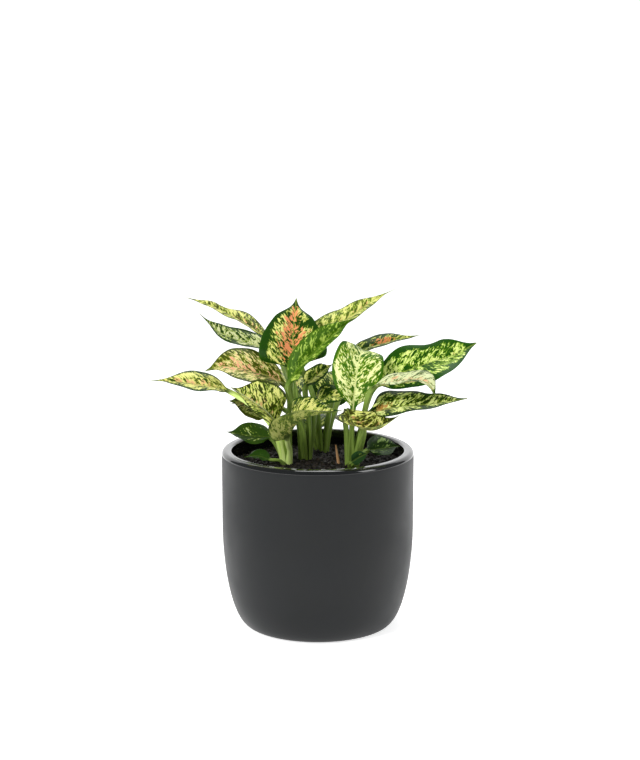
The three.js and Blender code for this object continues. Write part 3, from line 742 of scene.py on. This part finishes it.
# What sets each leaf apart: its colours, how much of it is flecked and where it blushes. edge lets its margin
# out, or in where less than 0: each a side, a share of the blade's length and millimetres. drip gives where
# the blade starts to narrow to its tip, and how much.
LEAF_LOOKS = {
    "leaf_left_broad": {"slot": "leaf_pink", "cover": 0.5, "margin": 0.15, "blush": 0.4,
                        "blush_length": 0.9, "deep": "#434e08", "mid": "#6e7518", "cream": "#efdf9c",
                        "pink": "#f0b089", "blush_reach": 1.2},
    # This leaf's stalk colours are painted much lighter than the rest: painted light where the leaves above
    # shade its petiole.
    "leaf_left_long": {"slot": "leaf_yellow", "cover": 0.62, "margin": 0.28, "blush": 0.4,
                       "lime": "#b0b94e", "mid": "#6b7c1e", "drip": (0.45, 0.6), "stalk": "#bcd85c",
                       "stalk_light": "#ecffa4"},
    # This leaf's stalk colours are painted light too, for the shade of the leaves above its petiole.
    "leaf_left_front": {"slot": "leaf_yellow", "cover": 0.5, "margin": 0.12, "blush": 0.3,
                        "deep": "#333d08", "stalk": "#bcd85e", "stalk_light": "#f0ffac", "rib": "#cfd8a0",
                        "rib_show": 0.7},
    # This leaf's stalk colours are painted light too, for the shade of the leaves above its petiole.
    "leaf_left_cup": {"slot": "leaf_pale", "cover": 0.6, "margin": 0.1, "under": "#6c7d3c",
                      "stalk": "#bcd864", "stalk_light": "#ecffa8"},
    "leaf_left_rim": {"slot": "leaf_dark", "cover": 0.0, "deep": "#2b4610", "mid": "#3a561c",
                      "blush": 0.0, "cream": "#c3d09a", "rib_show": 0.1},
    "leaf_left_hanging": {"slot": "leaf_dark", "cover": 0.48, "blush": 0.45, "deep": "#3c430a",
                          "lime": "#8d914b", "cream": "#b3ae70", "pink": "#b58a5c"},
    "leaf_left_small": {"slot": "leaf_dark", "cover": -0.15, "deep": "#2a4a12", "mid": "#3f6024",
                        "blush": 0.0, "rib_show": 0.1},
    "leaf_centre_tall": {"slot": "leaf_pink", "cover": 0.47, "margin": 0.34, "blush": 0.62,
                         "pink": "#f59c68", "blush_at": 0.55, "blush_length": 0.8, "blush_reach": 1.0,
                         "deep": "#1e4206"},
    "leaf_centre_young": {"slot": "leaf_green", "cover": 0.28, "margin": 0.1, "deep": "#3e630c",
                          "mid": "#5f8612", "lime": "#8aaa44", "cream": "#bcd25e", "blush": 0.0,
                          "rib": "#6f9626"},
    "leaf_left_top": {"slot": "leaf_yellow", "cover": 0.6, "margin": 0.12, "blush": 0.4, "blush_at": 0.15,
                      "deep": "#444f10", "mid": "#6c7430",
                      "edge": ((1, 0.4, 2), (1, 0.62, -2.5), (-1, 0.7, 2))},
    "leaf_left_second": {"slot": "leaf_green", "cover": 0.5, "blush": 0.1, "cream": "#dcdfa8",
                         "edge": ((-1, 0.72, 2), (-1, 0.5, -2))},
    "leaf_centre_shaded": {"slot": "leaf_dark", "cover": 0.3, "blush": 0.2},
    "leaf_centre_low": {"slot": "leaf_yellow", "cover": 0.6, "blush": 0.2},
    "leaf_right_upright": {"slot": "leaf_yellow", "cover": 0.5, "margin": 0.16, "deep": "#38680a",
                           "mid": "#68940e", "cream": "#f5fbb2", "blush": 0.1, "rib": "#e2e89c",
                           "rib_show": 0.9},
    "leaf_right_broad": {"slot": "leaf_green", "cover": 0.45, "margin": 0.34, "deep": "#1e4c04",
                         "mid": "#4a7a10", "lime": "#a2c83c", "cream": "#e8f592", "blush": 0.2,
                         "edge": ((-1, 0.58, -6), (-1, 0.82, 3.5), (1, 0.6, 2)), "drip": (0.85, 0.2)},
    "leaf_right_drooping": {"slot": "leaf_pale", "cover": 0.72, "margin": 0.1, "blush": 0.4,
                            "lime": "#a9b870", "cream": "#dfe6b0"},
    "leaf_right_low": {"slot": "leaf_green", "cover": 0.52, "deep": "#203c04", "mid": "#446409",
                       "blush": 0.45, "blush_at": 0.1, "blush_length": 0.3, "pink": "#c88a48",
                       "cream": "#f0f8a0", "edge": ((-1, 0.85, 2), (-1, 0.6, -2))},
    "leaf_right_bowl": {"slot": "leaf_pink", "cover": 0.45, "margin": 0.12, "deep": "#333808",
                        "mid": "#585816", "blush": 0.42, "pink": "#c08e5c"},
    "leaf_right_soil": {"slot": "leaf_dark", "cover": 0.15, "deep": "#1c370a", "mid": "#345617",
                        "lime": "#6f8a40", "cream": "#96b068", "blush": 0.0, "rib_show": 0.15},
    "leaf_right_basal": {"slot": "leaf_green", "cover": -0.15, "deep": "#264420", "mid": "#38592a",
                         "blush": 0.0, "rib_show": 0.15},
    "leaf_top_long": {"slot": "leaf_yellow", "cover": 0.66, "margin": 0.14, "deep": "#556824",
                      "mid": "#7a9228", "blush": 0.35, "drip": (0.55, 0.7), "edge": ((-1, 0.45, 2),)},
    "leaf_right_top": {"slot": "leaf_green", "cover": 0.4, "blush": 0.9, "blush_length": 0.25,
                       "pink": "#e08e56", "edge": ((-1, 0.45, 2),), "drip": (0.6, 0.6)},
    "leaf_back_right": {"slot": "leaf_green", "cover": 0.5},
    "leaf_back_centre": {"slot": "leaf_dark", "cover": 0.4},
    "leaf_back_left": {"slot": "leaf_green", "cover": 0.55, "blush": 0.4},
    "leaf_back_side": {"slot": "leaf_green", "cover": 0.45},
    "leaf_back_low": {"slot": "leaf_green", "cover": 0.4},
}
for seed, (name, own) in enumerate(LEAF_LOOKS.items()):
    look = {**BASE_LOOK, **own}
    finish = leaf_finish(name.replace("leaf_", "").replace("_", " "), look, seed + 1)
    leaf_piece(name, finish, look["slot"], seed * 1.3, **{k: look[k] for k in OUTLINE if k in look})

# ---- Canes and the dry sheath ----

# Young cane: smooth green bark, ringed by paler scars where old leaves have dropped.
SCAR_SPACING = 3.2 * MM
CANE_ROWS = 60
CANE_SIDES = 32
bark_green, tree, surface = finish_of("ringed green cane")
place = node(tree, "ShaderNodeTexCoord").outputs["Object"]
height = node(tree, "ShaderNodeSeparateXYZ", inputs={"Vector": place})
turns = node(tree, "ShaderNodeMath", {"operation": "MULTIPLY"}, {
    0: height.outputs["Z"], 1: 2 * math.pi / SCAR_SPACING})
band = node(tree, "ShaderNodeMath", {"operation": "SINE"}, {0: turns.outputs[0]})
scar = node(tree, "ShaderNodeMapRange", SOFT_STEP, {
    "Value": band.outputs[0], "From Min": 0.6, "From Max": 0.95})
mottle = node(tree, "ShaderNodeTexNoise", inputs={"Vector": place, "Scale": 1 / 0.002, "Detail": 3.0})
skin = node(tree, "ShaderNodeMix", {"data_type": "RGBA"}, {
    "Factor": mottle.outputs["Fac"], "A": colour("#50702c"), "B": colour("#7f9a48")})
ringed = node(tree, "ShaderNodeMix", {"data_type": "RGBA"}, {
    "Factor": scar.outputs[0], "A": skin.outputs["Result"], "B": colour("#b3ad7a")})
bump = node(tree, "ShaderNodeBump", inputs={"Height": scar.outputs[0], "Strength": 0.5, "Distance": 0.3 * MM})
tree.links.new(ringed.outputs["Result"], surface.inputs["Base Color"])
tree.links.new(bump.outputs["Normal"], surface.inputs["Normal"])
surface.inputs["Roughness"].default_value = 0.5

for name in sorted(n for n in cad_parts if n.startswith("cane_")):
    low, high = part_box(name)
    middle = (low + high) / 2
    radius = (high.x - low.x) / 2
    tall = high.z - low.z
    stem = [(0, low.z)]
    for share in np.linspace(0, 1, CANE_ROWS):
        ring = max(math.sin(share * tall * 2 * math.pi / SCAR_SPACING), 0) ** 4
        closing = max(math.sqrt(max(1 - share**6, 0)), 0.05)
        stem.append((radius * (0.9 - 0.12 * share + 0.05 * ring) * closing, low.z + tall * share))
    stem.append((0, high.z))
    points, faces = turned(stem, CANE_SIDES)
    points = [(x + middle.x, y + middle.y, z) for x, y, z in points]
    built("ringed_" + name, points, faces, bark_green, name)

# Dried leaf sheath: papery, tan, ribbed lengthwise and rolled in at its edges.
papery, tree, surface = finish_of("dried papery sheath")
place = node(tree, "ShaderNodeTexCoord").outputs["Object"]
squeezed = node(tree, "ShaderNodeMapping", inputs={"Vector": place, "Scale": (1.0, 1.0, 0.12)})
fibre = node(tree, "ShaderNodeTexNoise", inputs={
    "Vector": squeezed.outputs["Vector"], "Scale": 1 / 0.0006, "Detail": 3.0})
tan = node(tree, "ShaderNodeMix", {"data_type": "RGBA"}, {
    "Factor": fibre.outputs["Fac"], "A": colour("#a8703f"), "B": colour("#e0b68c")})
bump = node(tree, "ShaderNodeBump", inputs={
    "Height": fibre.outputs["Fac"], "Strength": 0.5, "Distance": 0.25 * MM})
tree.links.new(tan.outputs["Result"], surface.inputs["Base Color"])
tree.links.new(bump.outputs["Normal"], surface.inputs["Normal"])
surface.inputs["Roughness"].default_value = 0.75

SHEATH_ROWS = 25
SHEATH_AROUND = 16
SHEATH_FOOT = 1.5 * MM
SHEATH_TIP = 0.5 * MM
SHEATH_FLATNESS = 0.4
SHEATH_CURL = 0.55 * MM
low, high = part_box("dry_sheath")
foot_x, tip_x = high.x - 1.6 * MM, low.x + 1 * MM
points = []
for share in np.linspace(0, 1, SHEATH_ROWS):
    x = foot_x + (tip_x - foot_x) * share
    y = (low.y + high.y) / 2 + 0.5 * MM * math.sin(3 * share)
    z = low.z + (high.z - low.z) * share
    wide = SHEATH_FOOT - (SHEATH_FOOT - SHEATH_TIP) * share**2
    for i in range(SHEATH_AROUND):
        a = 2 * math.pi * i / SHEATH_AROUND
        curl = SHEATH_CURL * math.cos(2 * a) * (1 - share)
        points.append((x + wide * math.cos(a), y + SHEATH_FLATNESS * wide * math.sin(a) + curl, z))
faces = tube(SHEATH_ROWS, SHEATH_AROUND)
built("papery_sheath", points, faces, papery, "dry_sheath")

# ---- Floor, light and camera ----

# Matt white sweep of studio paper: a floor that curves up behind. It glows as if lit by lamps of its own.
paper, tree, surface = finish_of("lit white studio paper")
surface.inputs["Base Color"].default_value = colour("#f4f4f4")
surface.inputs["Roughness"].default_value = 0.9
surface.inputs["Emission Color"].default_value = (1, 1, 1, 1)
surface.inputs["Emission Strength"].default_value = 0.72
SWEEP_HALF_WIDTH = 6
SWEEP_FRONT = -4
SWEEP_BACK = 3
SWEEP_CURVE = 1.5
SWEEP_STEPS = 12
SWEEP_HEIGHT = 5
line = [(SWEEP_FRONT, 0)]
for i in range(SWEEP_STEPS + 1):
    a = math.pi / 2 * i / SWEEP_STEPS
    line.append((SWEEP_BACK + SWEEP_CURVE * math.sin(a), SWEEP_CURVE * (1 - math.cos(a))))
line.append((SWEEP_BACK + SWEEP_CURVE, SWEEP_HEIGHT))
points = [(x, y, z) for y, z in line for x in (-SWEEP_HALF_WIDTH, SWEEP_HALF_WIDTH)]
sweep_mesh = bpy.data.meshes.new("studio_sweep")
sweep_mesh.from_pydata(points, [], [(k, k + 1, k + 3, k + 2) for k in range(0, len(points) - 2, 2)])
sweep_mesh.shade_smooth()
sweep_mesh.materials.append(paper)
linked(bpy.data.objects.new("studio_sweep", sweep_mesh))

world = bpy.data.worlds.new("dim studio")
world.use_nodes = True
sky = world.node_tree.nodes["Background"]
sky.inputs["Color"].default_value = (0.95, 0.98, 1, 1)
sky.inputs["Strength"].default_value = 0.22
bpy.context.scene.world = world
bpy.context.scene.view_settings.view_transform = "Standard"

# Metres and watts: name, place, width and height, power. Every lamp is turned to the middle of the object.
AIM = Vector((0, 0, 0.19))
LAMPS = (
    ("key_softbox", (-1.0, -1.25, 1.1), (0.4, 0.4), 21),
    ("fill_softbox", (1.3, -0.7, 0.8), (0.5, 0.8), 5),
    ("top_softbox", (0.1, 0.4, 1.5), (0.7, 0.7), 9),
)
for name, place, size, power in LAMPS:
    lamp = bpy.data.lights.new(name, "AREA")
    lamp.shape = "RECTANGLE"
    lamp.size, lamp.size_y = size
    lamp.energy = power
    holder = linked(bpy.data.objects.new(name, lamp))
    holder.location = place
    holder.rotation_euler = (AIM - Vector(place)).to_track_quat("-Z", "Y").to_euler()
    # The key's own mirror image would sit as a white spot on the glazed rim.
    holder.visible_glossy = name != "key_softbox"

LOOKING_DOWN = 11.0
camera = bpy.data.cameras.new("camera")
camera.lens = 82.4
camera.sensor_width = 36
viewer = linked(bpy.data.objects.new("camera", camera))
viewer.location = (0.0021, -1.589, 0.542)
viewer.rotation_euler = (math.radians(90 - LOOKING_DOWN), 0, 0)
bpy.context.scene.camera = viewer
